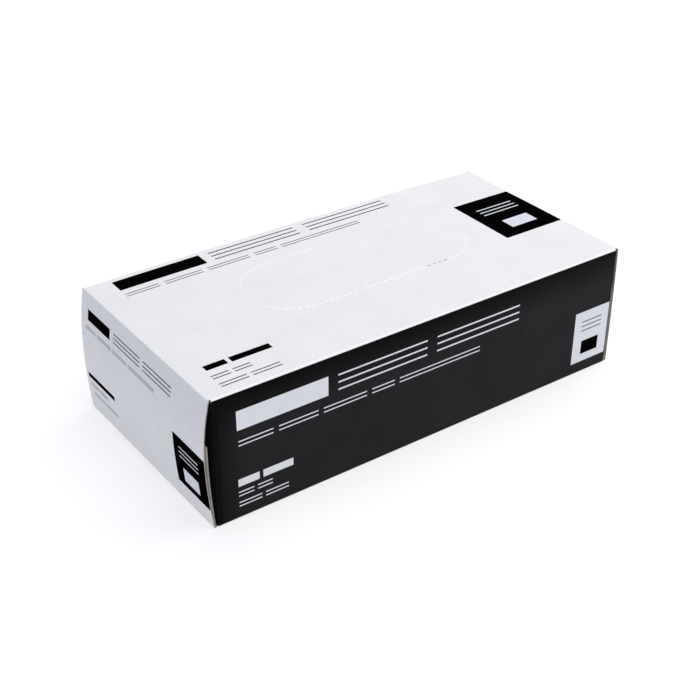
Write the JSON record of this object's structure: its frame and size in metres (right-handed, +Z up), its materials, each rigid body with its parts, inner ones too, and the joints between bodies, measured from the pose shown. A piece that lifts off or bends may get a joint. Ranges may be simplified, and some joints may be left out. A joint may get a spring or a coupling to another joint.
{
  "type": "disposable glove dispenser carton",
  "caption": "Folding-board dispenser carton full of folded nitrile gloves, with a tear-out oval in its top and ends closed by creased and glued flaps.",
  "frame": {"origin": "middle of the base, on the surface that the carton rests on", "axes": "+X along the carton's length, +Z up through the tear-out oval, -Y out of the black front"},
  "size_m": [0.2459, 0.12, 0.068],
  "materials": {
    "white_board": "satin",
    "black_board": "satin",
    "grey_board": "matte",
    "hot_melt": "satin",
    "black_nitrile": "satin"
  },
  "bodies": {
    "carton": {"top_panel": "white_board", "front_panel": "black_board", "back_panel": "white_board", "bottom_panel": "white_board", "glue_flap": "grey_board", "gloves_01": "black_nitrile", "gloves_02": "black_nitrile", "gloves_03": "black_nitrile", "gloves_04": "black_nitrile", "gloves_05": "black_nitrile", "gloves_06": "black_nitrile", "gloves_07": "black_nitrile", "gloves_08": "black_nitrile", "gloves_09": "black_nitrile", "gloves_10": "black_nitrile", "gloves_11": "black_nitrile", "gloves_12": "black_nitrile", "gloves_13": "black_nitrile", "gloves_14": "black_nitrile", "gloves_15": "black_nitrile", "gloves_16": "black_nitrile", "gloves_17": "black_nitrile", "gloves_18": "black_nitrile", "gloves_19": "black_nitrile", "gloves_20": "black_nitrile", "gloves_21": "black_nitrile", "gloves_22": "black_nitrile", "gloves_23": "black_nitrile", "gloves_24": "black_nitrile", "gloves_25": "black_nitrile"},
    "tear_out": {"tear_out_panel": "white_board"},
    "left_outer_flap": {"left_outer_flap": "white_board"},
    "left_inner_flap": {"left_inner_flap": "grey_board", "left_hot_melt_strips": "hot_melt"},
    "left_front_dust_flap": {"left_front_dust_flap": "black_board"},
    "left_back_dust_flap": {"left_back_dust_flap": "white_board"},
    "right_outer_flap": {"right_outer_flap": "white_board"},
    "right_inner_flap": {"right_inner_flap": "grey_board", "right_hot_melt_strips": "hot_melt"},
    "right_front_dust_flap": {"right_front_dust_flap": "black_board"},
    "right_back_dust_flap": {"right_back_dust_flap": "white_board"}
  },
  "joints": [
    {"name": "tear_out_lift", "type": "slide", "parent": "carton", "child": "tear_out", "axis": [0, 0, 1], "range_m": [0, 0.08]},
    {"name": "left_outer_flap_hinge", "type": "hinge", "parent": "carton", "child": "left_outer_flap", "pos_m": [-0.12045, 0, 0.06775], "axis": [0, 1, 0], "range_deg": [0, 180]},
    {"name": "left_inner_flap_hinge", "type": "hinge", "parent": "carton", "child": "left_inner_flap", "pos_m": [-0.12045, 0, 0.00025], "axis": [0, -1, 0], "range_deg": [0, 80]},
    {"name": "left_front_dust_flap_hinge", "type": "hinge", "parent": "carton", "child": "left_front_dust_flap", "pos_m": [-0.11945, -0.05975, 0.034], "axis": [0, 0, 1], "range_deg": [0, 60]},
    {"name": "left_back_dust_flap_hinge", "type": "hinge", "parent": "carton", "child": "left_back_dust_flap", "pos_m": [-0.11945, 0.05975, 0.034], "axis": [0, 0, -1], "range_deg": [0, 60]},
    {"name": "right_outer_flap_hinge", "type": "hinge", "parent": "carton", "child": "right_outer_flap", "pos_m": [0.12045, 0, 0.06775], "axis": [0, -1, 0], "range_deg": [0, 180]},
    {"name": "right_inner_flap_hinge", "type": "hinge", "parent": "carton", "child": "right_inner_flap", "pos_m": [0.12045, 0, 0.00025], "axis": [0, 1, 0], "range_deg": [0, 80]},
    {"name": "right_front_dust_flap_hinge", "type": "hinge", "parent": "carton", "child": "right_front_dust_flap", "pos_m": [0.11945, -0.05975, 0.034], "axis": [0, 0, -1], "range_deg": [0, 60]},
    {"name": "right_back_dust_flap_hinge", "type": "hinge", "parent": "carton", "child": "right_back_dust_flap", "pos_m": [0.11945, 0.05975, 0.034], "axis": [0, 0, 1], "range_deg": [0, 60]}
  ],
  "couplings": [
    {"joint": "left_inner_flap_hinge", "follows": "left_outer_flap_hinge", "ratio": 0.444},
    {"joint": "left_front_dust_flap_hinge", "follows": "left_outer_flap_hinge", "ratio": 0.333},
    {"joint": "left_back_dust_flap_hinge", "follows": "left_outer_flap_hinge", "ratio": 0.333},
    {"joint": "right_inner_flap_hinge", "follows": "right_outer_flap_hinge", "ratio": 0.444},
    {"joint": "right_front_dust_flap_hinge", "follows": "right_outer_flap_hinge", "ratio": 0.333},
    {"joint": "right_back_dust_flap_hinge", "follows": "right_outer_flap_hinge", "ratio": 0.333}
  ]
}
